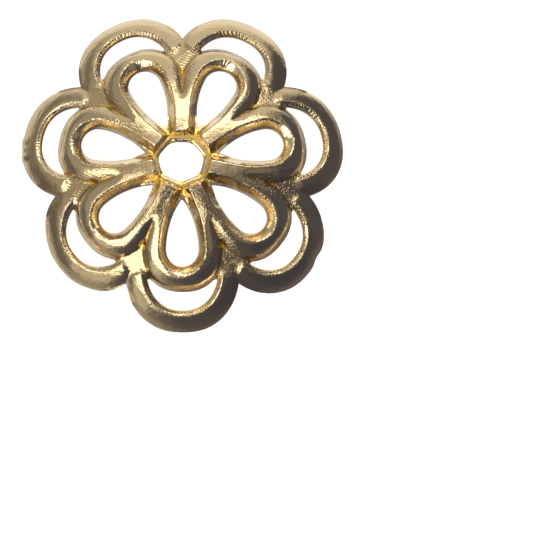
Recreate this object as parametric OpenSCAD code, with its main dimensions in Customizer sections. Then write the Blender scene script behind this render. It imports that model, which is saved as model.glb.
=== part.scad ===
// Pierced bead cap: a domed flower of cast metal that covers the end of a bead.
// It is one solid: a hub ring, spokes, and a ring of inner petals over a ring of outer petals.
// The axis is Z, with the hollow side down. The cap stands on its petal tips on Z = 0.
// The first petal points along -Y.

/* [Cap] */
// Number of petals in each ring
petals = 7; // [6:1:8]
// Radius of the circle through the petal tips
tip_r = 7.5; // [7:0.1:8.4]
// Radius of the hollow that sits on the bead
seat_r = 10.5; // [9.2:0.1:14]
// Width of the flat land under each petal tip
land_w = 0.06; // [0.04:0.01:0.2]
// Squareness of the petals' outlines, where 2 is an ellipse
petal_power = 2.25; // [2:0.05:3]

/* [Hub] */
// Stringing hole, across its flats
hole_af = 1.87; // [1.2:0.01:2.2]
// Thickness of the low ring round the hole
hub_t = 0.44; // [0.3:0.02:0.6]

/* [Spokes] */
// Radius where a spoke's end face leaves the hub ring
spoke_foot_r = 1.24; // [1.2:0.01:1.3]
// Radius where a spoke's flat top starts
spoke_start_r = 1.34; // [1.32:0.01:1.6]
// Radius where a spoke's flat top ends and the groove between two petals starts
spoke_end_r = 3.2; // [2.8:0.05:3.6]
// Length of the spoke's ramp down into that groove
spoke_ramp = 0.75; // [0.4:0.05:1]
// Width of a spoke's flat top at the hub
spoke_w = 0.54; // [0.4:0.02:0.7]
// Width of a spoke's flat top at its outer end
spoke_end_w = 0.76; // [0.6:0.02:1]
// Thickness of a spoke
spoke_t = 0.97; // [0.7:0.02:1.1]

/* [Teardrop openings] */
// Radius where a teardrop's point lies
drop_point_r = 1.77; // [1.7:0.01:1.9]
// Radius where the centre of a teardrop's round end lies
drop_centre_r = 4; // [3.8:0.05:4.3]
// Radius of a teardrop's round end
drop_end_r = 0.75; // [0.6:0.01:0.9]
// Radius of a teardrop's two long sides
drop_side_r = 3.85; // [3.3:0.05:6]

/* [Inner petals] */
// Radius of the circle through the inner petals' tips
inner_tip_r = 5.8; // [5.6:0.05:6.1]
// Width of an inner petal
inner_w = 3.8; // [3.6:0.05:4.1]
// Width of an inner petal's band at the hub
inner_band_w = 0.5; // [0.4:0.05:0.7]
// Thickness along an inner petal's crest
inner_crest_t = 0.95; // [0.7:0.01:1.1]
// Thickness along its opening
inner_lip_t = 0.42; // [0.25:0.01:0.6]
// Thickness along its outer edge, at the tip
inner_edge_t = 0.42; // [0.3:0.01:0.65]
// Thickness along its outer edge, beside the spoke
inner_root_t = 0.76; // [0.6:0.01:0.85]
// Width of the slope from the opening to the crest, at the hub
inner_slope_w = 0.34; // [0.2:0.01:0.4]
// Width of the slope from the opening to the crest, at the tip
inner_tip_slope_w = 0.5; // [0.3:0.01:0.7]

/* [Outer petals] */
// Radius where the centre of an outer petal's loop lies
outer_centre_r = 4.77; // [4.6:0.01:4.9]
// Width of an outer petal
outer_w = 5.28; // [5.1:0.02:5.6]
// Width of the crescent opening, from corner to corner
crescent_w = 3.28; // [2.9:0.02:3.5]
// Width of an outer petal's band at its tip
outer_band_w = 0.91; // [0.7:0.01:1.1]
// Thickness along an outer petal's crest
outer_crest_t = 0.54; // [0.5:0.01:0.8]
// Thickness along its crescent opening
outer_lip_t = 0.28; // [0.25:0.01:0.45]
// Thickness along its outer edge
outer_edge_t = 0.16; // [0.12:0.01:0.35]
// Width of the slope from the crescent to the crest
outer_slope_w = 0.28; // [0.15:0.01:0.4]

/* [Webs] */
// Thickness of the low webs between the petals
web_t = 0.34; // [0.3:0.01:0.55]
// Radius of a web's rounded corners
web_corner_r = 0.16; // [0.1:0.01:0.25]
// How far a web runs out past the outer petals' centres
web_reach = 0.55; // [0.5:0.05:0.9]

/* [Hidden] */
pitch = 360 / petals;
land_in_r = tip_r - land_w;
seat_centre_z = -sqrt(pow(seat_r, 2) - pow(land_in_r, 2));
under_z = -0.5;
slice = 0.01;
side_steps = 9;
end_steps = 9;
outer_steps = 26;
outer_sweep = 96;
crown_shares = [1/3, 2/3];
crown_power = 2;
root_power = 2;
end_fade = 16;
row_lean = 0.08;
seat_steps = 72;
ring_steps = 12 * petals;
metal = "darkgoldenrod";

// Height of the hollow's surface at radius r
function seat_z(r) = seat_centre_z + sqrt(pow(seat_r, 2) - pow(r, 2));

// Distance from a petal's centre to its outline, at angle a from the petal's width
function lobe(half_w, length, a) =
    pow(pow(abs(cos(a)) / half_w, petal_power) + pow(abs(sin(a)) / length, petal_power),
        -1 / petal_power);

function mix(a, b, k) = a + (b - a) * k;

// Place k of a row of sections, moved a little to one side.
// Neighbouring petals are mirror images, so without this their edges would cross in one point.
function leant(k, side) = k + side * row_lean * pow(k, 2) * (1 - pow(k, 2));

// A point on the part: plan position p, at thickness t over the hollow
function on_dome(p, t) = [p.x, p.y, seat_z(norm(p)) + t];

// Cross-section of a band, cut along direction n from point p of its opening
function band_section(p, n, w, slope_w, lip_t, crest_t, edge_t) = concat(
    [[p.x, p.y, under_z], on_dome(p, lip_t), on_dome(p + slope_w * n, crest_t)],
    [for (k = crown_shares)
        on_dome(p + mix(slope_w, w, k) * n, mix(crest_t, edge_t, pow(k, crown_power)))],
    [on_dome(p + w * n, edge_t), [p.x + w * n.x, p.y + w * n.y, under_z]]);

// Plan position p, turned about the axis
function turned(p, a) = [p.x * cos(a) - p.y * sin(a), p.x * sin(a) + p.y * cos(a)];

// Where the crescent's outer edge meets the inner petal's outline
crescent_corner = [crescent_w / 2, drop_centre_r + (inner_tip_r - drop_centre_r)
    * pow(1 - pow(crescent_w / inner_w, petal_power), 1 / petal_power)];

// A solid through a row of cross-sections, closed at both ends
module loft(sections) {
    n = len(sections[0]);
    last = len(sections) - 1;
    points = [for (s = sections) each s];
    skin = [for (i = [0 : last - 1], j = [0 : n - 1])
        let (k = (j + 1) % n)
        each [
            [i * n + j, (i + 1) * n + k, i * n + k],
            [i * n + j, (i + 1) * n + j, (i + 1) * n + k]]];
    ends = [
        [for (j = [0 : n - 1]) j],
        [for (j = [n - 1 : -1 : 0]) last * n + j]];
    polyhedron(points, concat(skin, ends));
}

module each_petal() {
    for (i = [0 : petals - 1]) rotate(180 + i * pitch) children();
}

module each_spoke() {
    for (i = [0 : petals - 1]) rotate(180 + (i + 0.5) * pitch) children();
}

// A place on a teardrop's outline: point, outward direction, share of the way from the hub to the
// round end, and angle round that end
drop_point_a = -asin((drop_centre_r - drop_point_r) / drop_side_r);
function on_drop_side(k) = let (a = drop_point_a * (1 - k), n = [cos(a), sin(a)])
    [[drop_end_r - drop_side_r, drop_centre_r] + drop_side_r * n, n, k, 0];
function on_drop_end(a) = let (n = [cos(a), sin(a)])
    [[0, drop_centre_r] + drop_end_r * n, n, 1, a];

// Half of that outline
function drop_half(side) = concat(
    [for (i = [0 : side_steps - 1]) on_drop_side(leant(i / side_steps, side))],
    [for (i = [0 : end_steps]) on_drop_end(90 * i / end_steps)]);

// Width of an inner petal's band at one place of that outline
function inner_band(k, a) = mix(
    inner_band_w,
    lobe(inner_w / 2, inner_tip_r - drop_centre_r, a) - drop_end_r,
    k);

function inner_section(s, side) = band_section(
    [side * s[0].x, s[0].y], [side * s[1].x, s[1].y], inner_band(s[2], s[3]),
    mix(inner_slope_w, inner_tip_slope_w, s[3] / 90),
    inner_lip_t, inner_crest_t, mix(inner_root_t, inner_edge_t, pow(s[2], root_power)));

// The low disc that carries the spokes' inner ends; the stringing hole makes it a ring
module hub_ring() {
    color(metal) rotate(180 / ring_steps) rotate_extrude($fn = ring_steps) polygon([
        [0, under_z],
        [0, seat_z(0) + hub_t],
        [drop_point_r, seat_z(drop_point_r) + hub_t],
        [drop_point_r, under_z]]);
}

// One cross-section of a spoke, as a thin upright slice
module spoke_slice(r, w, t) {
    translate([-w / 2, r, under_z]) cube([w, slice, seat_z(r) + t - under_z]);
}

// A flat-topped bar between two teardrops
module spoke() {
    color(metal) hull() {
        spoke_slice(spoke_foot_r, spoke_w, hub_t);
        spoke_slice(spoke_start_r, spoke_w, spoke_t);
        spoke_slice(spoke_end_r, spoke_end_w, spoke_t);
        spoke_slice(spoke_end_r + spoke_ramp, slice, web_t);
    }
}

// The raised band round one teardrop opening
module inner_petal() {
    right = drop_half(1);
    left = drop_half(-1);
    color(metal) loft(concat(
        [for (row = right) inner_section(row, 1)],
        [for (i = [len(left) - 2 : -1 : 0]) inner_section(left[i], -1)]));
}

// The band round the outside of one crescent opening; its ends run under the inner petals
module outer_petal() {
    centre = [0, outer_centre_r];
    color(metal) loft([for (i = [0 : outer_steps])
        let (
            a = 90 + outer_sweep * leant(2 * i / outer_steps - 1, 1),
            rise = min(1, (outer_sweep - abs(a - 90)) / end_fade),
            n = [cos(a), sin(a)],
            outer = lobe(outer_w / 2, tip_r - outer_centre_r, a),
            inner = lobe(crescent_w / 2, tip_r - outer_band_w - outer_centre_r, a))
        band_section(centre + inner * n, n, outer - inner, outer_slope_w,
            outer_lip_t, mix(outer_lip_t, outer_crest_t, rise), outer_edge_t)]);
}

// One post of a web, at plan position p in a spoke's frame
module web_post(p) {
    translate([p.x, p.y, under_z])
        cylinder(r = web_corner_r, h = seat_z(norm(p)) + web_t - under_z, $fn = 16);
}

// The low web between two inner and two outer petals; its sides round the crescents' corners
module web() {
    color(metal) hull() {
        web_post([0, drop_centre_r]);
        web_post(turned(crescent_corner, pitch / 2));
        web_post(turned([-crescent_corner.x, crescent_corner.y], -pitch / 2));
        web_post([0, outer_centre_r + web_reach]);
    }
}

// The hollow on the bead's side, and the floor that the petal tips stand on
module bead_seat() {
    translate([0, 0, seat_centre_z]) sphere(seat_r, $fn = seat_steps);
    translate([-2 * tip_r, -2 * tip_r, 2 * under_z]) cube([4 * tip_r, 4 * tip_r, -2 * under_z]);
}

// The stringing hole: one corner towards each petal, one flat towards each spoke
module stringing_hole() {
    rotate(-90) translate([0, 0, under_z])
        cylinder(r = hole_af / 2 / cos(pitch / 2), h = 2 * seat_r, $fn = petals);
}

module bead_cap() {
    difference() {
        union() {
            hub_ring();
            each_spoke() spoke();
            each_spoke() web();
            each_petal() inner_petal();
            each_petal() outer_petal();
        }
        bead_seat();
        stringing_hole();
    }
}

bead_cap();
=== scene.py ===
# %% [markdown]
# # A pierced bead cap
# The real thing is a domed flower of cast and gold-plated metal, 15 mm across. It sits on the end of
# a bead, and a thread or pin runs through the small hole in its middle. It is one piece, so this
# lesson makes one mesh, and spends its effort on an even, detailed surface and on the metal.

# %% Load the frame
import math

import bmesh
import bpy
import numpy as np
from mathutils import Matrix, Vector, geometry, noise


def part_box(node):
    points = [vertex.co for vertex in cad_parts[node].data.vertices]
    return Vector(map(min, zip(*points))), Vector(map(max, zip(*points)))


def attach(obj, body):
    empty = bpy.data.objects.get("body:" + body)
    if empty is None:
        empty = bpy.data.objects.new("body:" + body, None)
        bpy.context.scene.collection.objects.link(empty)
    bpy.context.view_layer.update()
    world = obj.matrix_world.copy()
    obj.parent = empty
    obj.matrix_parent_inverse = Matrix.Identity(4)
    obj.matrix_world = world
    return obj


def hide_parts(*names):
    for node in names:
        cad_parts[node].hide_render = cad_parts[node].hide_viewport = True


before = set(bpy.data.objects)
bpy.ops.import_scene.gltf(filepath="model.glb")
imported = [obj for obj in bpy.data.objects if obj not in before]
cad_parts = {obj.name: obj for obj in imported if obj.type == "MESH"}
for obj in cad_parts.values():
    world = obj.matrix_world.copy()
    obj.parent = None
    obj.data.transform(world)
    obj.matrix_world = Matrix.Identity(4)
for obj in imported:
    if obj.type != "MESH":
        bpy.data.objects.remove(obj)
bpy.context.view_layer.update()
low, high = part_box("bead_cap")
MM = 0.001
print("CAD box in mm:", [round(v / MM, 3) for v in (*low, *high)])

# %% [markdown]
# ## The sizes
# A jeweller's model of such a cap starts from a few sizes: where the two rings of petals end, how
# wide their bands are, and how thick the metal is along each crest and edge. They are in
# millimetres here. The tip radius is read from the frame, so that the mesh and the solid agree.

# %% Name the sizes
PETALS = 7
PITCH = 2 * math.pi / PETALS
QUARTER = math.pi / 2
TIP_R = -low[1] / MM
# the hollow is part of a sphere, and a narrow flat land under each tip stands on the table
SEAT_R, LAND_W = 10.5, 0.06
# the seven-sided hole across its flats, and the thickness of the ring round it
HOLE_AF, HUB_T = 1.87, 0.44
# where a spoke rises from the ring, and where its flat top starts
SPOKE_FOOT_R, SPOKE_START_R = 1.22, 1.32
# a teardrop opening: its point, the centre and radius of its round end, the radius of its sides
DROP_POINT_R, DROP_CENTRE_R, DROP_END_R, DROP_SIDE_R = 1.77, 4.0, 0.75, 3.85
INNER_TIP_R, INNER_W, INNER_BAND_W = 5.8, 3.8, 0.5
INNER_CREST_T, INNER_LIP_T, INNER_EDGE_T, INNER_ROOT_T = 0.95, 0.42, 0.42, 0.76
INNER_SLOPE_W, INNER_TIP_SLOPE_W = 0.34, 0.5
OUTER_CENTRE_R, OUTER_W, CRESCENT_W, OUTER_BAND_W = 4.77, 5.28, 3.28, 0.91
OUTER_CREST_T, OUTER_LIP_T, OUTER_EDGE_T, OUTER_SLOPE_W = 0.56, 0.22, 0.16, 0.26
WEB_T, WEB_END_T, WEB_HALF_W = 0.42, 0.26, 0.95
seat_centre_z = -math.sqrt(SEAT_R**2 - (TIP_R - LAND_W) ** 2)
print("height of the hollow in mm:", round(seat_centre_z + SEAT_R, 3))

# %% [markdown]
# ## The outlines
# Seen from above, every edge of the cap is an arc or a slightly squared oval. A squared oval is a
# superellipse: the same formula as an ellipse, with a power a little over 2. Writing the edges as
# formulas keeps them smooth at any resolution, which a list of clicked points would not. One petal
# is enough. It lies along the y axis, and the middle of the hole is at the origin.

# %% Write the outlines as formulas
POWER = 2.25
DROP_POINT_A = -math.asin((DROP_CENTRE_R - DROP_POINT_R) / DROP_SIDE_R)
DROP_POINT_U = DROP_END_R - DROP_SIDE_R + DROP_SIDE_R * math.cos(DROP_POINT_A)


def lobe(half_w, length, a):
    """Distance from a petal's centre to its outline, at angle a from the petal's width."""
    across = np.abs(np.cos(a) / half_w) ** POWER
    along = np.abs(np.sin(a) / length) ** POWER
    return (across + along) ** (-1 / POWER)


def inner_reach(a):
    return lobe(INNER_W / 2, INNER_TIP_R - DROP_CENTRE_R, a)


def crescent_reach(a):
    return lobe(CRESCENT_W / 2, TIP_R - OUTER_BAND_W - OUTER_CENTRE_R, a)


def outer_reach(a):
    return lobe(OUTER_W / 2, TIP_R - OUTER_CENTRE_R, a)


def around(centre_v, a, radius):
    """Points at angle a and a radius from a centre on the petal's own axis."""
    return np.stack([radius * np.cos(a), centre_v + radius * np.sin(a)], axis=-1)


def drop_side(a):
    points = around(DROP_CENTRE_R, a, DROP_SIDE_R)
    points[:, 0] += DROP_END_R - DROP_SIDE_R
    return points


def drop_end(a):
    return around(DROP_CENTRE_R, a, DROP_END_R)


print("angle of a teardrop's point:", round(math.degrees(DROP_POINT_A), 1))

# %% [markdown]
# ## Blending forms
# Where two forms of cast metal meet there is a small fillet, and a crest is never a knife edge. A
# soft maximum gives the fillet: it is the larger of two heights, rounded where they cross. A soft
# minimum rounds a crest in the same way. A Bevel modifier rounds edges too, but it needs clean
# edge loops, and these forms cross each other at all angles.

# %% Helpers for blending
def soft_max(a, b, soft):
    h = np.clip(0.5 + 0.5 * (a - b) / soft, 0, 1)
    return b + (a - b) * h + soft * h * (1 - h)


def soft_min(a, b, soft):
    return -soft_max(-a, -b, soft)


def smooth(k):
    """0 up to k = 0, 1 from k = 1 on, and an even curve between."""
    k = np.clip(k, 0, 1)
    return k * k * (3 - 2 * k)


def mix(a, b, k):
    return a + (b - a) * k


print("two equal heights of 1 mm blend to", round(float(soft_max(1, 1, 0.05)), 4), "mm")

# %% [markdown]
# ## Where a point lies
# The bands follow the openings, so the useful measures of a point are how far it is from the
# teardrop, from the crescent and from the middle of the spoke. Each function gives them for many
# points at once: numpy works on whole arrays far more quickly than a loop over points would.

# %% Measure from the teardrop, the crescent and the spoke
def drop_frame(p):
    """Distance from the teardrop, share of its side, angle round its end, and length along it."""
    u, v = p[:, 0], p[:, 1] - DROP_CENTRE_R
    side_u = u - (DROP_END_R - DROP_SIDE_R)
    side_a = np.arctan2(v, side_u)
    end_a = np.arctan2(v, u)
    at_end = v >= 0
    d = np.where(at_end, np.hypot(u, v) - DROP_END_R, np.hypot(side_u, v) - DROP_SIDE_R)
    # past its point, the teardrop goes on as a narrow groove between two spokes
    beyond = np.where(p[:, 1] < DROP_POINT_R, np.maximum(u - DROP_POINT_U, 0),
                      np.hypot(u - DROP_POINT_U, p[:, 1] - DROP_POINT_R))
    d = np.where(~at_end & (side_a < DROP_POINT_A), beyond, d)
    share = np.where(at_end, 1.0, np.clip(1 - side_a / DROP_POINT_A, 0, 1))
    a = np.where(at_end, end_a, 0.0)
    along = np.where(at_end, -DROP_POINT_A * DROP_SIDE_R + end_a * DROP_END_R,
                     (side_a - DROP_POINT_A) * DROP_SIDE_R)
    return d, share, a, along


def inner_width(share, a):
    """Width of the inner band: narrow beside the spoke, wide at the petal's tip."""
    return mix(INNER_BAND_W, inner_reach(a) - DROP_END_R, share)


def inner_slope(a):
    return mix(INNER_SLOPE_W, INNER_TIP_SLOPE_W, a / QUARTER)


def outer_frame(p):
    """Distance from the crescent, width of the outer band there, and angle round the petal."""
    u, v = p[:, 0], p[:, 1] - OUTER_CENTRE_R
    a = np.arctan2(v, u)
    crescent = crescent_reach(a)
    return np.hypot(u, v) - crescent, outer_reach(a) - crescent, a


def spoke_frame(p):
    """Distance out along the spoke, and sideways from it."""
    s, c = math.sin(PITCH / 2), math.cos(PITCH / 2)
    return p[:, 0] * s + p[:, 1] * c, np.abs(p[:, 0] * c - p[:, 1] * s)


print("width of the inner band at the tip in mm:", round(float(inner_width(1, QUARTER)), 3))

# %% [markdown]
# ## One band in section
# Cut across, every band of the cap is alike: a steep slope up from its opening to a crest, then a
# rounded crown that falls to its outer edge. Tumbling has rounded the lip of each opening. One
# formula with a few thicknesses serves both rings of petals, as one file would in the workshop.

# %% Write the section of a band
CREST_SOFT = 0.03
SLOPE_POWER, CROWN_POWER = 1.15, 2.5
LIP_ROUND_T, LIP_ROUND_W = 0.05, 0.06
# a slope and a crown go on a little past the band, and the narrowest crown keeps some width
SLOPE_END, CROWN_END, CROWN_MIN_W = 2, 1.3, 0.05


def band(d, width, slope_w, lip_t, crest_t, edge_t, power):
    """Thickness across one band, d away from its opening: a slope, a crest, then a rounded crown."""
    up = np.clip(1 - d / slope_w, 0, SLOPE_END)
    slope = crest_t - (crest_t - lip_t) * up**SLOPE_POWER
    past = np.clip((d - slope_w) / np.maximum(width - slope_w, CROWN_MIN_W), 0, CROWN_END)
    crown = crest_t - (crest_t - edge_t) * past**power
    return np.where(d < slope_w, soft_min(slope, np.maximum(crown, crest_t), CREST_SOFT), crown)


def lip_round(d):
    """How much the rounding takes off, d away from an edge."""
    return LIP_ROUND_T * (1 - np.clip(d / LIP_ROUND_W, 0, 1)) ** 2


across_band = np.array([0, OUTER_SLOPE_W, OUTER_BAND_W])
section = band(across_band, OUTER_BAND_W, OUTER_SLOPE_W, OUTER_LIP_T, OUTER_CREST_T, OUTER_EDGE_T,
               CROWN_POWER)
print("outer band at its lip, crest and edge in mm:", section.round(3))

# %% [markdown]
# ## Spokes and inner petals
# A spoke is a flat-topped bar that rises from the hub ring. Further out a groove splits it into the
# round crowns of two inner petals, which run up to the tips. The outer side of each inner petal is
# cut down steeply, so that it seems to lie on top of the outer ones.

# %% The thickness of the spokes and the inner petals
# the slope beside a spoke is narrower than round a petal, over this first share of the side
SPOKE_SLOPE_LESS, SPOKE_SLOPE_SHARE = 0.09, 0.25
CUSHION_T, CUSHION_HALF_W = 0.015, 0.4
# half the width of the flat top at both ends, the length between them, and how fast its flank falls
FLAT_HALF_W, FLAT_END_HALF_W, FLAT_L, FLANK_FALL = 0.29, 0.37, 1.8, 1.9
# beyond this radius the flat top flares, until the groove has split it
FLARE_START_R, FLARE_L, FLARE_W = 2.5, 0.8, 0.4
GROOVE_START_R, GROOVE_L, GROOVE_SLANT = 2.75, 0.7, 0.3
# the steep outer side: thickness at its foot, its rise, and where along the side it starts
INNER_FOOT_T, BEVEL_RISE, BEVEL_SOFT = 0.18, 3.0, 0.05
BEVEL_START, BEVEL_RUN, BEVEL_CLEAR_T = 0.6, 0.35, 1.5


def spoke_top(p, d, width, slope_w):
    """The flat top of a spoke, slightly cushioned, with a steep flank on each side."""
    out, side = spoke_frame(p)
    cushion = CUSHION_T * (1 - np.clip(side / CUSHION_HALF_W, 0, 1) ** 2)
    flat = band(d, width, slope_w, INNER_LIP_T, INNER_CREST_T, INNER_CREST_T, 1) + cushion
    half_w = mix(FLAT_HALF_W, FLAT_END_HALF_W, np.clip((out - SPOKE_START_R) / FLAT_L, 0, 1))
    half_w = half_w + FLARE_W * smooth((out - FLARE_START_R) / FLARE_L)
    return soft_min(flat, INNER_CREST_T - FLANK_FALL * (side - half_w), CREST_SOFT)


def spokes_and_inner_petals(p):
    d, share, a, _ = drop_frame(p)
    out, side = spoke_frame(p)
    width = inner_width(share, a)
    slope_w = inner_slope(a) - SPOKE_SLOPE_LESS * np.clip(1 - share / SPOKE_SLOPE_SHARE, 0, 1)
    edge_t = mix(INNER_ROOT_T, INNER_EDGE_T, share**2)
    crown = band(d, width, slope_w, INNER_LIP_T, INNER_CREST_T, edge_t, CROWN_POWER)
    split = smooth((out - GROOVE_START_R - GROOVE_SLANT * np.minimum(side, 1)) / GROOVE_L)
    inner = mix(spoke_top(p, d, width, slope_w), crown, split)
    foot = mix(HUB_T, INNER_CREST_T, (out - SPOKE_FOOT_R) / (SPOKE_START_R - SPOKE_FOOT_R))
    inner = soft_min(inner, foot, CREST_SOFT)
    clear = BEVEL_CLEAR_T * (1 - smooth((share - BEVEL_START) / BEVEL_RUN))
    bevel = INNER_FOOT_T + BEVEL_RISE * (width - d) + clear
    return soft_min(inner, bevel, BEVEL_SOFT) - lip_round(d)


inner_crest = np.array([[0.0, DROP_CENTRE_R + DROP_END_R + INNER_TIP_SLOPE_W]])
print("crest at an inner tip in mm:", spokes_and_inner_petals(inner_crest).round(3))

# %% [markdown]
# ## Outer petals, webs and hub
# The outer bands are lower and wider, and sink into the web beside the spoke. A web is the low
# metal that was left between two petals, and the hub is a plain ring with a rounded rim. The soft
# maximum then joins all the parts, much as the metal ran together in the mould.

# %% The thickness of the rest, and of the whole
FILLET = 0.05
# the angle round the outer petal at which its crest starts to rise from the web, and its run
RISE_START, RISE_TURN = math.radians(-6), math.radians(16)
OUTER_RIM_SHARE = 0.6
# a web starts and falls off at these radii, over these lengths, and ends sideways over the last
WEB_START_R, WEB_START_L, WEB_FALL_R, WEB_FALL_L, WEB_SIDE_L = 2.6, 0.6, 6.1, 0.9, 0.3
HUB_ROUND_T, HUB_ROUND_W, HUB_END_R = 0.07, 0.12, 2.2


def outer_petals(p):
    e, width, turn = outer_frame(p)
    rise = np.clip((turn - RISE_START) / RISE_TURN, 0, 1)
    crest_t = mix(OUTER_LIP_T, OUTER_CREST_T, rise)
    outer = band(e, width, OUTER_SLOPE_W, OUTER_LIP_T, crest_t, OUTER_EDGE_T, CROWN_POWER)
    return outer - lip_round(e) * (rise > 0) - OUTER_RIM_SHARE * lip_round(width - e)


def webs(p):
    out, side = spoke_frame(p)
    start = smooth((out - WEB_START_R) / WEB_START_L)
    web = mix(WEB_END_T, WEB_T, smooth((WEB_FALL_R - out) / WEB_FALL_L)) * start
    return web * smooth((WEB_HALF_W - side) / WEB_SIDE_L)


def hub_ring(p):
    out, _ = spoke_frame(p)
    return HUB_T - HUB_ROUND_T * (1 - np.clip((out - HOLE_AF / 2) / HUB_ROUND_W, 0, 1)) ** 2


def thickness(p):
    """Metal thickness over the hollow, at points of half a petal."""
    base = soft_max(outer_petals(p), webs(p), 2 * FILLET)
    base = np.where(np.hypot(p[:, 0], p[:, 1]) < HUB_END_R, hub_ring(p), base)
    return soft_max(spokes_and_inner_petals(p), base, FILLET)


outer_crest = np.array([[0.0, TIP_R - OUTER_BAND_W + OUTER_SLOPE_W]])
print("crest at an outer tip in mm:", thickness(outer_crest).round(3))

# %% [markdown]
# ## The outline of half a petal
# The cap repeats 14 times: seven petals, each with a left and a right half. One half is a simple
# outline with no hole in it, because the openings cut it only along its edges. So the outline is a
# round trip: up beside the teardrop, across the inner band, round the crescent, over the outer
# band, along the silhouette to the notch between two petals, and back down the spoke.

# %% Find the corners of the outline
STEP = 0.07
HOLE_CORNER_R = 0.6
# the crescent ends where it is this narrow, and its rounded end is pulled towards a corner point
CRESCENT_END_W, CRESCENT_END_PULL = 0.2, (0.2, -0.24)
# the end of the crescent is looked for between these two angles
LOOK_FROM, LOOK_TO = math.radians(10), math.radians(80)
spoke_axis = np.array([math.sin(PITCH / 2), math.cos(PITCH / 2)])
across_spoke = np.array([math.cos(PITCH / 2), -math.sin(PITCH / 2)])


def one(curve, a):
    """The one point of a curve at angle a."""
    return curve(np.array([a]))[0]


def inner_outline(a):
    return around(DROP_CENTRE_R, a, inner_reach(a))


def crescent_outline(a):
    return around(OUTER_CENTRE_R, a, crescent_reach(a))


def silhouette(a):
    return around(OUTER_CENTRE_R, a, outer_reach(a))


def crescent_end():
    """Angles on the inner outline and on the crescent's, where the crescent ends."""
    a = np.linspace(LOOK_FROM, LOOK_TO, 1400)
    inner, outer = inner_outline(a), crescent_outline(a)
    gap = np.linalg.norm(outer[:, None] - inner[None], axis=2).min(axis=1)
    i = int(np.argmax(gap > CRESCENT_END_W))
    j = int(np.argmin(np.linalg.norm(inner - outer[i], axis=1)))
    return a[j], a[i]


inner_a, outer_a = crescent_end()
end_on_inner, end_on_outer = one(inner_outline, inner_a), one(crescent_outline, outer_a)
end_corner = (end_on_inner + end_on_outer) / 2 + CRESCENT_END_PULL
notch_a = np.linspace(0, QUARTER, 4000)
notch_a = notch_a[int(np.argmax(silhouette(notch_a) @ across_spoke < 0))]
notch_r = float(one(silhouette, notch_a) @ spoke_axis)
hole_corner_v = (HOLE_AF / 2 - HOLE_CORNER_R) / math.cos(PITCH / 2)
hole_corner = around(hole_corner_v, np.linspace(QUARTER - PITCH / 2, QUARTER, 5), HOLE_CORNER_R)
print("notch between two petals at radius", round(notch_r, 3), "mm")

# %% Join the stretches of the outline
SAME_PLACE = 0.004


def steps(start, end, length):
    """Values from start to end, for a stretch of about this length in millimetres."""
    return np.linspace(start, end, max(2, int(round(length / STEP)) + 1))


def straight(p, q):
    p, q = np.array(p, float), np.array(q, float)
    k = steps(0, 1, np.linalg.norm(q - p))[:, None]
    return p + (q - p) * k


def bend(p, corner, q):
    """A round corner from p to q, pulled towards a corner point."""
    k = np.linspace(0, 1, 7)[1:-1, None]
    return (1 - k) ** 2 * p + 2 * k * (1 - k) * corner + k**2 * q


# each stretch of the outline, and whether it is an edge of the metal or only a mirror line
stretches = [
    (straight([0, hole_corner_v + HOLE_CORNER_R], [0, DROP_POINT_R]), False),
    (straight([0, DROP_POINT_R], one(drop_side, DROP_POINT_A)), True),
    (drop_side(steps(DROP_POINT_A, 0, 2.4)), True),
    (drop_end(steps(0, QUARTER, 1.2)), True),
    (straight([0, DROP_CENTRE_R + DROP_END_R], [0, INNER_TIP_R]), False),
    (inner_outline(steps(QUARTER, inner_a, 2.0)), True),
    (bend(end_on_inner, end_corner, end_on_outer), True),
    (crescent_outline(steps(outer_a, QUARTER, 2.3)), True),
    (straight([0, TIP_R - OUTER_BAND_W], [0, TIP_R]), False),
    (silhouette(steps(QUARTER, notch_a, 3.7)), True),
    (straight(notch_r * spoke_axis, HOLE_AF / 2 * spoke_axis), False),
    (straight(HOLE_AF / 2 * spoke_axis, hole_corner[0]), True),
    (hole_corner, True),
]
outline, is_edge = [], []
for stretch, edge in stretches:
    for p in stretch:
        if outline and np.linalg.norm(p - outline[-1]) < SAME_PLACE:
            outline[-1], is_edge[-1] = p, edge
            continue
        outline.append(p)
        is_edge.append(edge)
if np.linalg.norm(outline[0] - outline[-1]) < SAME_PLACE:
    outline.pop()
    is_edge.pop()
outline, is_edge = np.array(outline), np.array(is_edge)
following = np.roll(outline, -1, axis=0)
area = 0.5 * np.sum(outline[:, 0] * following[:, 1] - following[:, 0] * outline[:, 1])
print("outline points:", len(outline), "area of half a petal in mm2:", round(abs(area), 3))

# %% [markdown]
# ## Fill it with rows of points
# A surface shows its crests cleanly only where rows of points run along them. So the outline is
# filled with rows that follow each band, close together at the crest, and with a plain grid in
# between. Remeshing by voxels would be less work, but it would blur every crest and edge.

# %% Test and thin out points
CELL = 0.08
GRID_W, GRID_START_R, GRID_END_R, ROW_SHARE = 3, 0.8, 7.6, 0.866


def inside(p):
    """Which points lie inside the outline: a line from them crosses it an odd number of times."""
    x, y = p[:, 0][:, None], p[:, 1][:, None]
    ax, ay = outline[:, 0][None], outline[:, 1][None]
    bx, by = np.roll(ax, -1, axis=1), np.roll(ay, -1, axis=1)
    crosses = (ay > y) != (by > y)
    at = (bx - ax) * (y - ay) / np.where(by == ay, 1e-9, by - ay) + ax
    return (crosses & (x < at)).sum(axis=1) % 2 == 1


def distance_to(p, picked):
    """Distance from each point to the nearest of the outline's pieces that are picked."""
    starts, ends = outline[picked], following[picked]
    nearest = np.full(len(p), np.inf)
    for start, piece in zip(starts, ends - starts):
        k = np.clip((p - start) @ piece / (piece @ piece), 0, 1)
        nearest = np.minimum(nearest, np.linalg.norm(p - start - k[:, None] * piece, axis=1))
    return nearest


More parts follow.
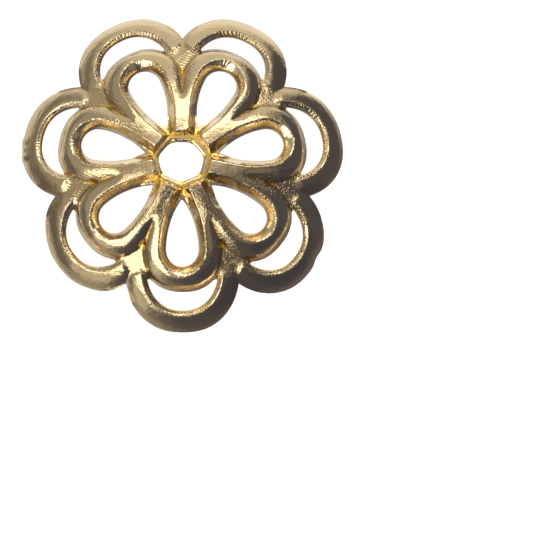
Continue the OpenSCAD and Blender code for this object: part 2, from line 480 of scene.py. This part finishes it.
def spread(groups):
    """Keep the points that are a margin inside the outline, and a gap from those kept before."""
    kept, cells = [], {}
    for p, margin, gap in groups:
        p = p[inside(p)]
        for x, y in p[distance_to(p, np.arange(len(outline))) > margin]:
            cx, cy = int(x // CELL), int(y // CELL)
            near = (q for i in (-1, 0, 1) for j in (-1, 0, 1) for q in cells.get((cx + i, cy + j), ()))
            if all((x - q[0]) ** 2 + (y - q[1]) ** 2 > gap * gap for q in near):
                kept.append((x, y))
                cells.setdefault((cx, cy), []).append((x, y))
    return np.array(kept)


def grid(gap):
    """Points of a triangular grid over half a petal. Its rows lie a little closer than its points."""
    u, v = np.meshgrid(np.arange(0, GRID_W, gap), np.arange(GRID_START_R, GRID_END_R, gap * ROW_SHARE))
    u = u + (np.arange(len(v)) % 2)[:, None] * gap / 2
    return np.stack([u.ravel(), v.ravel()], -1)


print("of a grid's points,", int(inside(grid(0.15)).sum()), "lie inside the outline")

# %% Lay the rows
def rows_round_drop():
    """Rows along the inner band: at its edge and crest, then on its slope and crown."""
    side_a, end_a = steps(DROP_POINT_A, 0, 2.7)[:-1], steps(0, QUARTER, 1.9)
    start = np.concatenate([drop_side(side_a), drop_end(end_a)])
    facing = np.concatenate([side_a, end_a])
    away = np.stack([np.cos(facing), np.sin(facing)], -1)
    share = np.concatenate([1 - side_a / DROP_POINT_A, np.ones(len(end_a))])
    a = np.concatenate([np.zeros(len(side_a)), end_a])
    slope_w, width = inner_slope(a), inner_width(share, a)
    offsets = [width + o for o in (0, 0.05, -0.05)]
    offsets += [slope_w + o for o in (0, -0.03, 0.03, -0.06, 0.06)]
    offsets += [slope_w * k for k in (0.1, 0.25, 0.45, 0.65)]
    offsets += [mix(slope_w, width, k) for k in (0.25, 0.4, 0.55, 0.7, 0.84)]
    return np.concatenate([start + away * o[:, None] for o in offsets])


def rows_round_crescent():
    """Rows along the outer band: at its crest, then on its slope and crown."""
    a = steps(math.radians(-20), QUARTER, 4.2)
    width = outer_reach(a) - crescent_reach(a)
    offsets = [OUTER_SLOPE_W + o for o in (0, -0.03, 0.03, -0.07, 0.07)]
    offsets += [OUTER_SLOPE_W * k for k in (0.15, 0.4)]
    offsets += [mix(OUTER_SLOPE_W, width, k) for k in (0.3, 0.45, 0.6, 0.75, 0.88)]
    return np.concatenate([around(OUTER_CENTRE_R, a, crescent_reach(a) + o) for o in offsets])


def beside_edges(offsets):
    """Rows of points just inside every edge that the metal really has."""
    ahead = following - outline
    ahead = ahead / np.linalg.norm(ahead, axis=1)[:, None]
    inward = np.stack([-ahead[:, 1], ahead[:, 0]], -1) * math.copysign(1, area)
    return np.concatenate([(outline + inward * o)[is_edge] for o in offsets])


# each group of points, its margin inside the outline, and the gap between its points
top_points = spread([(beside_edges((0.03, 0.065)), 0.025, 0.024),
                     (rows_round_drop(), 0.022, 0.024),
                     (rows_round_crescent(), 0.022, 0.03),
                     (grid(0.07), 0.04, 0.05)])
under_points = spread([(beside_edges((0.025, 0.055)), 0.02, 0.024),
                       (grid(0.15), 0.06, 0.1)])
print("points in half a petal:", len(top_points), "on top,", len(under_points), "under")

# %% [markdown]
# ## From the net to a closed skin
# A constrained Delaunay triangulation joins the points, and keeps the outline as edges. The net is
# made twice: once for the top, and once, with fewer points, for the smooth underside. Walls join
# the two along each real edge. A Solidify modifier would also make walls, but only of one
# thickness.

# %% Raise the nets to the top and the underside
EDGE_ROUND_T, EDGE_ROUND_W, EDGE_ROUND_SHARE = 0.05, 0.06, 0.35


def net(points):
    count = len(outline)
    ring = [(i, (i + 1) % count) for i in range(count)]
    corners = [Vector(p) for p in np.concatenate([outline, points])]
    # the 1 asks for the triangles inside the ring only
    flat, _, faces, _, _, _ = geometry.delaunay_2d_cdt(corners, ring, [], 1, 1e-6)
    flat = np.array([tuple(v) for v in flat])
    flat[:count] = outline
    return flat, np.array(faces)


def seat_z(p):
    """Height of the hollow's sphere."""
    return seat_centre_z + np.sqrt(SEAT_R**2 - np.hypot(p[:, 0], p[:, 1]) ** 2)


def top_z(p):
    return seat_z(p) + thickness(p)


def under_z(p):
    """The hollow, with its edges rounded up, and cut off level at the floor."""
    near = np.clip(1 - distance_to(p, is_edge) / EDGE_ROUND_W, 0, 1)
    flat = np.maximum(seat_z(p), 0)
    return flat + np.minimum(EDGE_ROUND_T, EDGE_ROUND_SHARE * (top_z(p) - flat)) * near**2


top_flat, top_faces = net(top_points)
under_flat, under_faces = net(under_points)
top = np.column_stack([top_flat, top_z(top_flat)])
under = np.column_stack([under_flat, under_z(under_flat)])
edge_t = (top[:len(outline), 2] - under[:len(outline), 2])[is_edge]
print("edge thickness from", round(edge_t.min(), 3), "to", round(edge_t.max(), 3), "mm")

# %% Add the walls of one half
count = len(outline)
middle = (top[:count] + under[:count]) / 2
half_points = np.concatenate([top, under, middle])
first_under, first_middle = len(top), len(top) + len(under)
half_faces = [tuple(f) for f in top_faces]
half_faces += [tuple(f[::-1] + first_under) for f in under_faces]
for i in np.nonzero(is_edge)[0]:
    j = (i + 1) % count
    for a, b in ((0, first_middle), (first_middle, first_under)):
        half_faces.append((i + a, i + b, j + b, j + a))
print("points in half a petal's skin:", len(half_points), "faces:", len(half_faces))

# %% [markdown]
# ## Notes on each point
# The finish differs from part to part: the slopes of the real cap were cut to a gloss and carry cross
# marks, the crowns have streaks, and the webs were filed or left as cast. The cut slopes are also
# painted paler, as a highlight. Each point gets a few numbers that say where it is, kept as
# attributes, which the material can read by name. Several materials on one mesh would give hard
# borders instead of soft ones.

# %% Note what each point belongs to
INNER_MARKS, OUTER_MARKS = 0.45, 1.15
# a mean radius turns angles round the crescent into lengths, and inner marks are closer together
CRESCENT_MEAN_R, INNER_MARKS_CLOSER = 1.75, 1.3
# a cut goes on a little past the crest, as a share of the slope's width, and fades before that
CUT_END, CUT_FADE = 1.1, 0.15
# a bare web: where it starts and ends, and its half width at one radius, which grows to its widest
BARE_START_R, BARE_END_R, BARE_R = 3.1, 5.9, 3.2
BARE_HALF_W, BARE_GROWS, BARE_WIDEST = 0.15, 0.45, 0.75
# streaks start at this radius, and the corners by the hub, painted deep orange for bounced light, end at
# these, outwards and sideways
STREAK_START_R, CORNER_END_R, CORNER_HALF_W = 2.8, 1.75, 0.26
plan = half_points[:, :2]
on_top = np.arange(len(half_points)) < len(top)
from_drop, share, end_a, along = drop_frame(plan)
from_crescent, _, turn = outer_frame(plan)
out, side = spoke_frame(plan)
on_outer_band = (from_drop > inner_width(share, end_a)) & (turn > math.radians(4))


def on_slope(up, shown, foot, foot_end):
    """1 on a slope from its foot to its crest, for shares of the way up."""
    return on_top * shown * smooth((up - foot) / (foot_end - foot)) * smooth((CUT_END - up) / CUT_FADE)


def on_web():
    """1 on the bare web between petals, which widens outwards."""
    half_w = np.minimum(BARE_HALF_W + BARE_GROWS * (out - BARE_R), BARE_WIDEST)
    shown = on_top * smooth((half_w - side) / 0.25)
    return shown * smooth((out - BARE_START_R) / 0.3) * smooth((BARE_END_R - out) / 0.8)


def in_corner():
    """1 in the narrow corner between two spokes, close to the hub."""
    near_hub = on_top * smooth((CORNER_END_R - plan[:, 1]) / 0.3)
    return near_hub * smooth((CORNER_HALF_W - plan[:, 0]) / 0.16)


up_inner, up_outer = from_drop / inner_slope(end_a), from_crescent / OUTER_SLOPE_W
inner_marks = on_slope(up_inner, share > 0.45, 0.4, 0.65)
outer_marks = on_slope(up_outer, on_outer_band, 0.25, 0.55)
notes = {
    "marks": INNER_MARKS * inner_marks + OUTER_MARKS * outer_marks,
    # the cut slopes: glossier from the cutter, and painted paler as a highlight
    "cut": on_slope(up_inner, share > 0.1, 0.1, 0.5) + on_slope(up_outer, on_outer_band, 0.0, 0.4),
    "along": np.where(outer_marks > 0, turn * CRESCENT_MEAN_R, along * INNER_MARKS_CLOSER),
    "lengthwise": along,
    "crown": on_top * smooth((out - STREAK_START_R) / 0.8) * (from_drop > inner_slope(end_a)),
    "across": from_drop,
    "web": on_web(),
    "corner": in_corner(),
}
print("notes:", list(notes))

# %% [markdown]
# ## The whole flower
# The half is mirrored and turned seven times, and the seams are welded. An Array and a Mirror
# modifier could repeat it too, but the next step makes each petal a little different, which needs
# all of them in one mesh.

# %% Mirror it and turn it seven times
def turned(points, angle, flip):
    c, s = math.cos(angle), math.sin(angle)
    x = -points[:, 0] if flip else points[:, 0]
    return np.column_stack([x * c - points[:, 1] * s, x * s + points[:, 1] * c, points[:, 2]])


all_points, all_faces, all_notes = [], [], {name: [] for name in notes}
for i in range(PETALS):
    for flip in (False, True):
        start = len(half_points) * len(all_points)
        all_points.append(turned(half_points, math.pi + i * PITCH, flip))
        for f in half_faces:
            f = f[::-1] if flip else f
            all_faces.append([k + start for k in f])
        for name, values in notes.items():
            all_notes[name].append(values)

mesh = bpy.data.meshes.new("bead_cap_skin")
mesh.from_pydata((np.concatenate(all_points) * MM).tolist(), [], all_faces)
for name, values in all_notes.items():
    layer = mesh.attributes.new(name, "FLOAT", "POINT")
    layer.data.foreach_set("value", np.concatenate(values).astype(np.float32))
print("before welding:", len(mesh.vertices), "points")

# %% Weld the seams
WELD = 0.002
form = bmesh.new()
form.from_mesh(mesh)
bmesh.ops.remove_doubles(form, verts=form.verts, dist=WELD * MM)
loose = [v for v in form.verts if not v.link_faces]
bmesh.ops.delete(form, geom=loose, context="VERTS")
bmesh.ops.recalc_face_normals(form, faces=form.faces)
open_edges = sum(not e.is_manifold for e in form.edges)
volume = form.calc_volume() / MM**3
form.to_mesh(mesh)
form.free()
print("faces:", len(mesh.polygons), "open edges:", open_edges, "volume in mm3:", round(volume, 2))

# %% [markdown]
# ## Small signs of hand work
# Seven perfect copies look like a drawing. The real cap was cast, plated and tumbled, so no two
# petals are quite alike. A slow noise moves the metal by a hundredth of a millimetre or two. It gets
# a fixed seed, so that every run gives the same cap. The feet keep their height, because the cap
# has to stand level.

# %% Make it slightly uneven
WAVE, WAVE_SCALE, WAVE_PLACE = 0.018, 0.55, Vector((3.1, 7.7, 1.3))
RIPPLE, RIPPLE_SCALE, RIPPLE_PLACE = 0.004, 2.6, Vector((9.2, 0.4, 5.8))
FEET_Z = 0.1
noise.seed_set(7)
points = np.zeros(len(mesh.vertices) * 3)
mesh.vertices.foreach_get("co", points)
points = points.reshape(-1, 3) / MM
feet = points[:, 2] < FEET_Z
for i, p in enumerate(points):
    slow = noise.noise_vector(Vector(p) * WAVE_SCALE + WAVE_PLACE)
    quick = noise.noise(Vector(p) * RIPPLE_SCALE + RIPPLE_PLACE)
    points[i, :2] += WAVE * np.array(slow[:2])
    if not feet[i]:
        points[i, 2] += RIPPLE * quick + 0.5 * WAVE * slow[2]
print("points that keep their height:", int(feet.sum()))

# %% [markdown]
# ## Faults of this one cap
# One petal came out a quarter of a millimetre short, the hole is a little wide, one edge has a burr
# and another a flat spot. Sculpting could do this by hand. A few numbers do it here, so that the
# faults can be moved or made smaller later.

# %% Shorten a petal, widen the hole and press the edges
SHORT_PETAL, SHORT_BY, SHORT_FROM_R, SHORT_RUN = 6, 0.27, 3.5, 4
HOLE_RIM_R, HOLE_RIM_RUN = 1.0, 0.3
HOLE_WIDER, HOLE_NARROWER, HOLE_SHIFT = 0.07, 0.03, 0.05
# each pressed spot: its angle from the first petal, its radius, its size, and how far it moves
SPOTS = (
    (259.5, 7.42, 0.16, (-0.10, 0.01, 0.01)),
    (262.5, 7.4, 0.1, (-0.12, 0.02, 0.03)),
    (265.5, 7.36, 0.16, (-0.10, 0.01, 0.01)),
    (57, 7.45, 0.35, (-0.08, 0.05, 0.05)),
)

radii = np.hypot(points[:, 0], points[:, 1])
turn_from_petal = np.arctan2(points[:, 1], points[:, 0]) - (SHORT_PETAL * PITCH - QUARTER)
turn_from_petal = (turn_from_petal + math.pi) % (2 * math.pi) - math.pi
in_petal = smooth((PITCH / 2 - np.abs(turn_from_petal)) / 0.25)
shrink = 1 - SHORT_BY * in_petal * smooth((radii - SHORT_FROM_R) / SHORT_RUN) / radii
points[:, :2] *= shrink[:, None]

near_hole = 1 - smooth((radii - HOLE_RIM_R) / HOLE_RIM_RUN)
points[:, 0] += (HOLE_WIDER * points[:, 0] - HOLE_SHIFT) * near_hole
points[:, 1] *= 1 - HOLE_NARROWER * near_hole

for angle, radius, size, move in SPOTS:
    a = math.radians(angle) - QUARTER
    centre = np.array([radius * math.cos(a), radius * math.sin(a)])
    near = np.linalg.norm(points[:, :2] - centre, axis=1) / size
    points += np.exp(-(near**2))[:, None] * np.array(move)

points = np.clip(points, np.array(low) / MM, np.array(high) / MM)
mesh.vertices.foreach_set("co", (points * MM).ravel())
mesh.update()
print("box in mm:", points.min(axis=0).round(3), points.max(axis=0).round(3))

# %% [markdown]
# ## Hollows and ridges
# A hollow is painted deep orange, for the light that bounces between its gold walls, and a crest is
# painted pale, as a highlight. Comparing each point with the average of its neighbours tells the two
# apart. A shader's Pointiness would do the same, but only in Cycles.

# %% Measure how hollow each place is
BLUR_ROUNDS, SOFTEN_ROUNDS = 6, 2


def neighbour_mean(values, pairs, uses):
    total = np.zeros_like(values)
    np.add.at(total, pairs[:, 0], values[pairs[:, 1]])
    np.add.at(total, pairs[:, 1], values[pairs[:, 0]])
    return total / uses[:, None]


pairs = np.zeros(len(mesh.edges) * 2, dtype=np.int64)
mesh.edges.foreach_get("vertices", pairs)
pairs = pairs.reshape(-1, 2)
uses = np.bincount(pairs.ravel(), minlength=len(points)).astype(float)
normals = np.zeros(len(points) * 3)
mesh.vertices.foreach_get("normal", normals)
normals = normals.reshape(-1, 3)
blurred = points.copy()
for _ in range(BLUR_ROUNDS):
    blurred = neighbour_mean(blurred, pairs, uses)
hollow = np.sum((blurred - points) * normals, axis=1)
for _ in range(SOFTEN_ROUNDS):
    hollow = neighbour_mean(hollow[:, None], pairs, uses)[:, 0]
layer = mesh.attributes.new("hollow", "FLOAT", "POINT")
layer.data.foreach_set("value", hollow.astype(np.float32))
print("hollow, 2nd and 98th hundredth in mm:", np.percentile(hollow, [2, 98]).round(4))

# %% [markdown]
# ## The piece
# The piece rides on the one body of the frame, and stands for the solid of the same name. Faces
# that meet at a shallow angle are shaded as one surface, and edges sharper than that stay sharp.

# %% Add the cap to the scene
SHARP_ANGLE = math.radians(42)
mesh.shade_smooth()
mesh.set_sharp_from_angle(angle=SHARP_ANGLE)
cap = bpy.data.objects.new("bead_cap_metal", mesh)
bpy.context.scene.collection.objects.link(cap)
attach(cap, "root")
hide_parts("bead_cap")
print("piece:", cap.name, len(mesh.vertices), "points")

# %% [markdown]
# ## Nodes from code
# A material is a tree of nodes. Dragging them about is pleasant for ten and slow for a hundred, so
# these helpers add a node and link its inputs in one line. Each gives back the socket that the next
# node reads, and the later cells then read like sums.

# %% Helpers for nodes
def draw_in(tree):
    """From here on, the helpers add their nodes to this tree."""
    global nodes, links
    nodes, links = tree.nodes, tree.links


def add(kind, inputs=(), **settings):
    """Add a node. Its inputs are given by name or number, each as a value or as a socket."""
    made = nodes.new(kind)
    for name, value in settings.items():
        setattr(made, name, value)
    for key, value in dict(inputs).items():
        if isinstance(value, bpy.types.NodeSocket):
            links.new(value, made.inputs[key])
        else:
            made.inputs[key].default_value = value
    return made


def sums(operation, a, b=0.0):
    return add("ShaderNodeMath", {0: a, 1: b}, operation=operation).outputs[0]


def plus(a, b):
    return sums("ADD", a, b)


def times(a, b):
    return sums("MULTIPLY", a, b)


def remap(value, low_in, high_in, low_out=0.0, high_out=1.0):
    return add("ShaderNodeMapRange", {0: value, 1: low_in, 2: high_in, 3: low_out, 4: high_out}).outputs[0]


def blend_colours(share, a, b):
    return add("ShaderNodeMix", {0: share, 6: a, 7: b}, data_type="RGBA").outputs[2]


# %% Helpers for places on the cap
def note(name):
    """One of the numbers that were kept on each point."""
    return add("ShaderNodeAttribute", attribute_name=name).outputs["Fac"]


def grain(scale, detail, offset):
    """Soft lumps, about so many to a metre. The offset picks another part of the same noise."""
    place = add("ShaderNodeTexCoord").outputs["Object"]
    moved = add("ShaderNodeVectorMath", {0: place, 1: (offset, offset, offset)}).outputs[0]
    return add("ShaderNodeTexNoise", {"Vector": moved, "Scale": scale, "Detail": detail}).outputs["Fac"]


def distance_towards(side):
    """How far a place lies from the cap's axis towards one side."""
    place = add("ShaderNodeTexCoord").outputs["Object"]
    return add("ShaderNodeVectorMath", {0: place, 1: side}, operation="DOT_PRODUCT").outputs["Value"]


metal = bpy.data.materials.new("gold_plate_satin")
metal.use_nodes = True
draw_in(metal.node_tree)
shader = nodes["Principled BSDF"]
print("nodes of a new material:", [node.name for node in nodes])

# %% [markdown]
# ## Gold plate
# The finish is a thin gold plating over cast metal: fully metallic, satin rather than mirror. Its
# colour is painted deeper orange in the hollows and the corners between the spokes, for bounced light,
# and paler on crests and cut slopes, as a highlight. A picture of metal could be painted on, but it
# would stand still when the light moves.

# %% Colour and gloss
# the gold is the metal's own colour; the deep orange is painted bounced light, the pale colour a painted
# highlight
HIGHLIGHT_PALE, GOLD, DEEP_BOUNCE_LIGHT = (0.92, 0.74, 0.44, 1), (0.75, 0.565, 0.31, 1), (0.92, 0.62, 0.14, 1)
HOLLOW_STARTS, HOLLOW_FULL = 0.02, 0.06
RIDGE_STARTS, RIDGE_FULL, RIDGE_SHARE = -0.004, -0.03, 0.5
CLOUD_SHARE, CORNER_SHARE = 0.12, 0.85
GLOSSIEST, DULLEST, CUT_GLOSS = 0.1, 0.19, 0.06

shader.inputs["Metallic"].default_value = 1.0
# painted bounced light: a deeper orange in hollows and in the corners by the hub, with some random cloudy
# tone
clouds = remap(grain(700, 3.0, 0.003), 0.35, 0.75, 0.0, CLOUD_SHARE)
painted_bounce_share = plus(remap(note("hollow"), HOLLOW_STARTS, HOLLOW_FULL), clouds)
painted_bounce_share = sums("MAXIMUM", painted_bounce_share, times(note("corner"), CORNER_SHARE))
# painted highlight: crests, found by the hollow measure, and the cut slopes get a paler colour
crest_highlights = remap(note("hollow"), RIDGE_STARTS, RIDGE_FULL, 0.0, RIDGE_SHARE)
painted_highlight_share = sums("SUBTRACT", sums("MAXIMUM", crest_highlights, note("cut")), note("corner"))
colour = blend_colours(painted_highlight_share, blend_colours(painted_bounce_share, GOLD, DEEP_BOUNCE_LIGHT), HIGHLIGHT_PALE)
links.new(colour, shader.inputs["Base Color"])
dull = remap(grain(2600, 4.0, 0.011), 0.3, 0.7, GLOSSIEST, DULLEST)
dull = sums("SUBTRACT", dull, times(note("cut"), CUT_GLOSS))
links.new(dull, shader.inputs["Roughness"])
print("nodes for colour and gloss:", len(nodes))

# %% [markdown]
# ## Marks of the tools
# The cutter left fine cross marks on the slopes, in patches, and more of them to the right. The webs
# of the upper left were filed, and those of the right are rough from the mould. A wave makes each
# set of lines. Noise added inside the wave bends it, so that the lines never run quite straight.

# %% Cross marks, file marks and specks
MARK_PITCH, MARK_WANDER = 0.14, 8.0
FILE_PITCH, FILE_WANDER = 0.13, 12.0
MARKED_SIDE, FILED_SIDE, ROUGH_SIDE = (0.85, 0.5, 0), (-0.7, 0.7, 0), (0.94, -0.34, 0)
FILE_ACROSS = (0.55, 0.83, 0)

wander = remap(grain(1500, 2.0, 0.02), 0.0, 1.0, -MARK_WANDER, MARK_WANDER)
mark_wave = sums("SINE", plus(times(note("along"), 2 * math.pi / MARK_PITCH), wander))
patches = remap(grain(1000, 2.0, 0.031), 0.43, 0.57, 0.12, 1.0)
more_to_one_side = remap(distance_towards(MARKED_SIDE), -5 * MM, 1 * MM, 0.25, 1.0)
marks = times(times(times(mark_wave, note("marks")), patches), more_to_one_side)

filed = times(note("web"), remap(distance_towards(FILED_SIDE), 1 * MM, 3 * MM))
wander = remap(grain(900, 3.0, 0.08), 0.0, 1.0, -FILE_WANDER, FILE_WANDER)
file_wave = sums("SINE", plus(times(distance_towards(FILE_ACROSS), 2 * math.pi / (FILE_PITCH * MM)), wander))
file_marks = times(file_wave, filed)
rough = times(note("web"), remap(distance_towards(ROUGH_SIDE), 1 * MM, 3 * MM))
specks = times(remap(grain(9500, 2.0, 0.06), 0.5, 0.75), rough)
print("nodes with the marks:", len(nodes))

# %% [markdown]
# ## Streaks, grain and the relief
# Polishing drew faint streaks along the crowns, and tumbling left a grain all over. With the marks,
# they are added up to one height map. All of it is far finer than the mesh, so it is bump, which
# tilts the light's reflection without moving a point. That is the usual way for such small relief.

# %% Add up the relief
STREAK_LENGTHWISE, STREAK_ACROSS, STREAK_BEND = 1.1, 4.5, 14.0
RELIEF_HEIGHT = 0.006

streak_place = add("ShaderNodeCombineXYZ", {0: times(note("lengthwise"), STREAK_LENGTHWISE),
                                            1: times(note("across"), STREAK_ACROSS),
                                            2: times(grain(160, 1.0, 0.07), STREAK_BEND)})
streaks = add("ShaderNodeTexNoise", {"Vector": streak_place.outputs[0], "Scale": 1.0, "Detail": 2.0})
streaks = times(streaks.outputs["Fac"], note("crown"))
fine_grain, slow_grain = grain(11000, 3.0, 0.04), grain(2300, 2.0, 0.05)
# each kind of relief, and how many times the relief's height it may reach
reliefs = (
    (marks, 2.6),
    (streaks, 4.0),
    (file_marks, 0.8),
    (specks, 3.2),
    (fine_grain, 1.4),
    (slow_grain, 3.5),
)
height = 0.0
for relief, times_height in reliefs:
    height = plus(height, times(relief, times_height))
bump = add("ShaderNodeBump", {"Height": height, "Distance": RELIEF_HEIGHT * MM, "Strength": 1.0})
links.new(bump.outputs["Normal"], shader.inputs["Normal"])
mesh.materials.append(metal)
print("nodes in all:", len(nodes))

# %% [markdown]
# ## The floor
# A pale sheet of paper is the plain background. It glows a little of itself, so that it stays even
# and nearly white. It doesn't show in the metal, where the sky takes its place: the dark lower
# right of the cap would otherwise be lit by the paper.

# %% Lay the paper
FLOOR_HALF_W = 1.5
PAPER, PAPER_ROUGHNESS, PAPER_GLOW = (0.93, 0.93, 0.93, 1), 0.9, 0.82
floor_mesh = bpy.data.meshes.new("floor")
floor_corners = [(x * FLOOR_HALF_W, y * FLOOR_HALF_W, 0) for x, y in ((-1, -1), (1, -1), (1, 1), (-1, 1))]
floor_mesh.from_pydata(floor_corners, [], [(0, 1, 2, 3)])
floor = bpy.data.objects.new("floor", floor_mesh)
bpy.context.scene.collection.objects.link(floor)
floor.visible_glossy = False
paper = bpy.data.materials.new("paper")
paper.use_nodes = True
paper_shader = paper.node_tree.nodes["Principled BSDF"]
paper_shader.inputs["Base Color"].default_value = PAPER
paper_shader.inputs["Roughness"].default_value = PAPER_ROUGHNESS
paper_shader.inputs["Emission Color"].default_value = (1, 1, 1, 1)
paper_shader.inputs["Emission Strength"].default_value = PAPER_GLOW
floor_mesh.materials.append(paper)
print("floor:", 2 * FLOOR_HALF_W, "m wide")

# %% [markdown]
# ## The sky
# Metal shows what is around it, so the surroundings are most of its look. A grey sky gives the even
# beige, with a dimmer band at the horizon. Each lobe is one brighter or darker direction: bright
# above in the picture, and dark to the lower right, where the crowns go charcoal. Painting a sky
# from lobes takes fewer nodes than a room full of reflector cards.

# %% Paint the sky
SKY_GREY, HIGH_GREY, HORIZON_GREY = (0.37, 0.37, 0.375, 1), (0.68, 0.68, 0.68, 1), (0.21, 0.205, 0.22, 1)
HIGH_LOBE = (75, 62, 0.75, 0.97)
# the horizon band lies a little below level, and fades out between these two heights
HORIZON_DROP, HORIZON_OUT, HORIZON_IN = 0.12, 0.34, 0.1
# each lobe: azimuth, elevation, the cosines of the angles where it fades out and is full, colour
SKY_LOBES = (
    (86, 0, 0.68, 0.95, (0.66, 0.66, 0.66)),
    (229, -2, 0.945, 0.99, (0.62, 0.62, 0.62)),
    (194, -24, 0.87, 0.97, (0.15, 0.145, 0.16)),
    (140, -75, 0.52, 0.82, (0.72, 0.72, 0.72)),
    (86, -45, 0.8, 0.97, (0.96, 0.96, 0.98)),
    (0, -90, 0.86, 0.98, (0.2, 0.19, 0.22)),
    (322, 3, 0.0, 0.62, (0.086, 0.09, 0.138)),
    (27, -8, 0.78, 0.93, (0.086, 0.09, 0.138)),
    (320, -62, 0.72, 0.97, (0.16, 0.15, 0.19)),
    (315, 2, 0.8, 0.97, (0.06, 0.067, 0.115)),
    (325, 50, 0.9, 0.98, (0.23, 0.215, 0.22)),
    (303, 69, 0.96, 0.988, (0.12, 0.115, 0.13)),
    (262, 71, 0.94, 0.982, (0.07, 0.07, 0.09)),
)
world = bpy.data.worlds.new("studio")
bpy.context.scene.world = world
world.use_nodes = True
draw_in(world.node_tree)
sky_place = add("ShaderNodeTexCoord").outputs["Generated"]


def heading(azimuth, elevation):
    """A direction. Azimuth 0 is to the right of the picture, and 90 is up in it."""
    a, e = math.radians(azimuth), math.radians(elevation)
    return Vector((math.cos(a) * math.cos(e), math.sin(a) * math.cos(e), math.sin(e)))


def fade(value, start, end):
    return add("ShaderNodeMapRange", {0: value, 1: start, 2: end}, interpolation_type="SMOOTHSTEP").outputs[0]


def lobe_of_sky(azimuth, elevation, start, end):
    """1 towards one direction, fading to 0 away from it."""
    facing = add("ShaderNodeVectorMath", {0: sky_place, 1: heading(azimuth, elevation)},
                 operation="DOT_PRODUCT")
    return fade(facing.outputs["Value"], start, end)


sky = blend_colours(lobe_of_sky(*HIGH_LOBE), SKY_GREY, HIGH_GREY)
rise = add("ShaderNodeSeparateXYZ", {0: sky_place}).outputs["Z"]
horizon = fade(sums("ABSOLUTE", plus(rise, HORIZON_DROP)), HORIZON_OUT, HORIZON_IN)
sky = blend_colours(horizon, sky, HORIZON_GREY)
for azimuth, elevation, start, end, grey in SKY_LOBES:
    sky = blend_colours(lobe_of_sky(azimuth, elevation, start, end), sky, (*grey, 1))
links.new(sky, nodes["Background"].inputs["Color"])
nodes["Background"].inputs["Strength"].default_value = 1.0
print("lobes of sky:", len(SKY_LOBES) + 1)

# %% [markdown]
# ## The lamps
# Five soft lamps draw the bright bands along the crests. How sharp a highlight is on satin metal
# depends on how big the lamp looks from it, so each lamp is given by its angles and its brightness,
# and its real size and power follow. A few big lamps keep the highlights cream rather than white.

# %% Set up the lamps
LAMP_AWAY = 0.3
# each lamp: name, azimuth, elevation, half its width and height in degrees, and its brightness
LAMPS = (
    ("upper_lamp", 84, 54, 26, 10, 1.65),
    ("upper_low_lamp", 55, 39, 16, 7, 1.4),
    ("left_lamp", 231, 39, 23, 21, 1.75),
    ("left_strip", 200, 65, 6, 6, 1.9),
    ("lower_strip", 281, 69, 4, 7, 2.2),
)
for name, azimuth, elevation, half_width, half_height, brightness in LAMPS:
    light = bpy.data.lights.new(name, "AREA")
    light.shape = "RECTANGLE"
    light.size = 2 * LAMP_AWAY * math.tan(math.radians(half_width))
    light.size_y = 2 * LAMP_AWAY * math.tan(math.radians(half_height))
    light.energy = brightness * math.pi * light.size * light.size_y
    lamp = bpy.data.objects.new(name, light)
    lamp.location = heading(azimuth, elevation) * LAMP_AWAY
    lamp.rotation_euler = lamp.location.to_track_quat("Z", "Y").to_euler()
    bpy.context.scene.collection.objects.link(lamp)
    print(name, "has", round(light.energy, 4), "W")

# %% [markdown]
# ## The camera
# The cap was seen from nearly straight above. The camera stands far off with a long lens, so that
# near and far petals keep the same size. Its aim is worked out from where the hub lies in the
# picture, in millimetres on the cap.

# %% Aim the camera
ELEVATION, PICTURE_MM, DISTANCE = math.radians(82), 24.46, 600.0
RIGHT_OF_HUB, BELOW_HUB, HUB_Z = 3.87, 4.85, 3.4
back = Vector((0, -math.cos(ELEVATION), math.sin(ELEVATION)))
up = Vector((0, math.sin(ELEVATION), math.cos(ELEVATION)))
target = Vector((RIGHT_OF_HUB, 0, HUB_Z)) - BELOW_HUB * up
lens = bpy.data.cameras.new("camera")
lens.sensor_width = 36
lens.lens = lens.sensor_width * DISTANCE / PICTURE_MM
lens.clip_start, lens.clip_end = 0.01, 10
camera = bpy.data.objects.new("camera", lens)
camera.location = (target + DISTANCE * back) * MM
camera.rotation_euler = back.to_track_quat("Z", "Y").to_euler()
bpy.context.scene.collection.objects.link(camera)
bpy.context.scene.camera = camera
bpy.context.scene.view_settings.view_transform = "Standard"
print("lens:", round(lens.lens), "mm at", DISTANCE, "mm")
